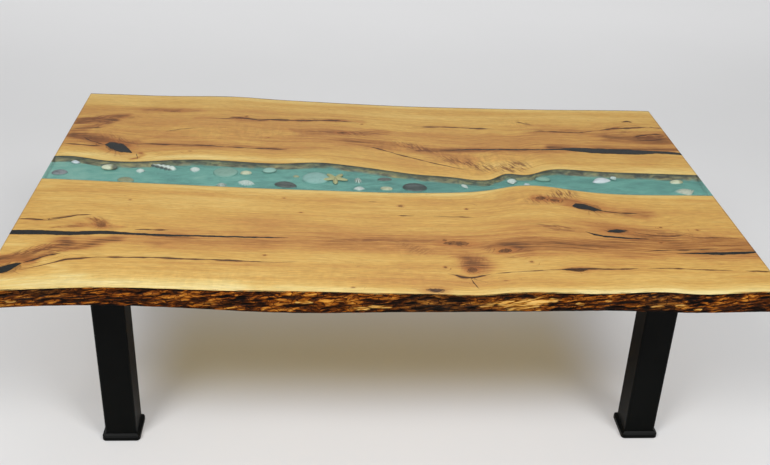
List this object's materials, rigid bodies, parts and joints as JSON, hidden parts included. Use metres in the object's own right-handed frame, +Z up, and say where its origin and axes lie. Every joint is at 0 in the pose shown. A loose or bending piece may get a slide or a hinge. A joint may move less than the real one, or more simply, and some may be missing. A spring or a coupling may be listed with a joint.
{
  "type": "live edge river table",
  "caption": "Low slab table: live-edge planks around a resin river with stones and shells, bark on the long edges, on square black steel posts with foot plates.",
  "frame": {"origin": "on the floor under the middle of the table top's outline", "axes": "+X along the table's length to the right, +Y from the front plank to the rear plank, +Z up"},
  "size_m": [1.42, 0.9598, 0.45],
  "materials": {
    "oak_plank": "clear coated, gloss",
    "teal_resin": "cast, pearly",
    "clear_resin": "cast, polished",
    "dark_resin": "cast, polished",
    "dark_stone": "water worn stone",
    "pale_stone": "water worn stone",
    "shell": "natural shell",
    "sea_glass": "frosted",
    "quartz": "milky crystal",
    "starfish": "dried, grainy",
    "black_steel": "powder coated, satin",
    "zinc_steel": "zinc plated",
    "felt": "pressed felt"
  },
  "bodies": {
    "root": {"front_plank": "oak_plank", "rear_plank": "oak_plank", "river_base_layer": "teal_resin", "river_clear_layer": "clear_resin", "dark_pebbles": "dark_stone", "pale_pebbles": "pale_stone", "clam_shells": "shell", "flat_shells": "shell", "sea_glass": "sea_glass", "quartz_chips": "quartz", "spiral_shell": "shell", "starfish": "starfish", "scallop_shell": "shell", "fill_front_long_shake": "dark_resin", "fill_front_corner_knot": "dark_resin", "fill_front_branch_knot": "dark_resin", "fill_front_short_shake": "dark_resin", "fill_front_curved_shake": "dark_resin", "fill_front_low_shake": "dark_resin", "fill_front_right_shake": "dark_resin", "fill_front_edge_notch": "dark_resin", "fill_rear_knot": "dark_resin", "fill_rear_long_shake": "dark_resin", "leg_tube_front_left": "black_steel", "leg_top_plate_front_left": "black_steel", "leg_foot_plate_front_left": "black_steel", "leg_welds_front_left": "black_steel", "leg_felt_pad_front_left": "felt", "leg_tube_front_right": "black_steel", "leg_top_plate_front_right": "black_steel", "leg_foot_plate_front_right": "black_steel", "leg_welds_front_right": "black_steel", "leg_felt_pad_front_right": "felt", "leg_tube_rear_left": "black_steel", "leg_top_plate_rear_left": "black_steel", "leg_foot_plate_rear_left": "black_steel", "leg_welds_rear_left": "black_steel", "leg_felt_pad_rear_left": "felt", "leg_tube_rear_right": "black_steel", "leg_top_plate_rear_right": "black_steel", "leg_foot_plate_rear_right": "black_steel", "leg_welds_rear_right": "black_steel", "leg_felt_pad_rear_right": "felt", "leg_bolts": "zinc_steel", "leg_washers": "zinc_steel", "leg_inserts": "zinc_steel"}
  },
  "joints": []
}
